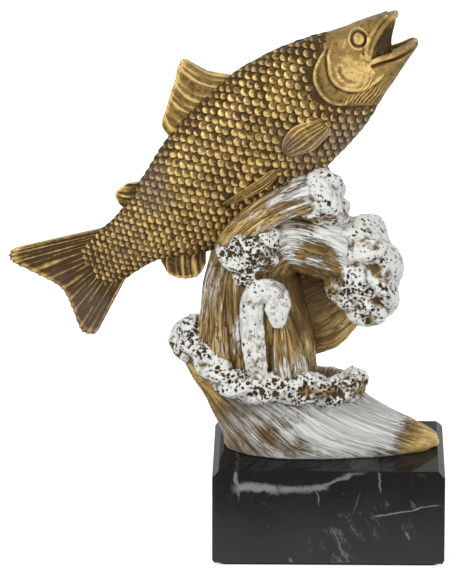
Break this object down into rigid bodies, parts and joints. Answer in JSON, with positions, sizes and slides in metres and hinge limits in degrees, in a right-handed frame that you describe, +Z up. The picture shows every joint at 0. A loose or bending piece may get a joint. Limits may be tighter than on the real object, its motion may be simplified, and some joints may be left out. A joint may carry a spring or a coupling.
{
  "type": "fishing trophy",
  "caption": "Free-standing trophy: a cast fish leaps off a breaking wave, which is bolted to a bevelled marble plinth with felt below.",
  "frame": {"origin": "centre of the felt's underside, where the trophy rests", "axes": "+Z up, +X to the right as the fish's nose points, +Y to the back"},
  "size_m": [0.1516, 0.06, 0.1892],
  "materials": {
    "marble": "polished black marble with white veins",
    "felt": "dark green felt",
    "wave_resin": "cast resin, bronze wash with white foam",
    "fish_resin": "cast resin, antique gold over a brown wash",
    "steel": "bright zinc",
    "brass": "turned brass"
  },
  "bodies": {
    "root": {"plinth": "marble", "felt_pad": "felt", "wave": "wave_resin", "fish": "fish_resin", "front_dowel": "steel", "rear_dowel": "steel", "threaded_insert": "brass", "anchor_stud": "steel", "washer": "steel", "nut": "steel"}
  },
  "joints": []
}
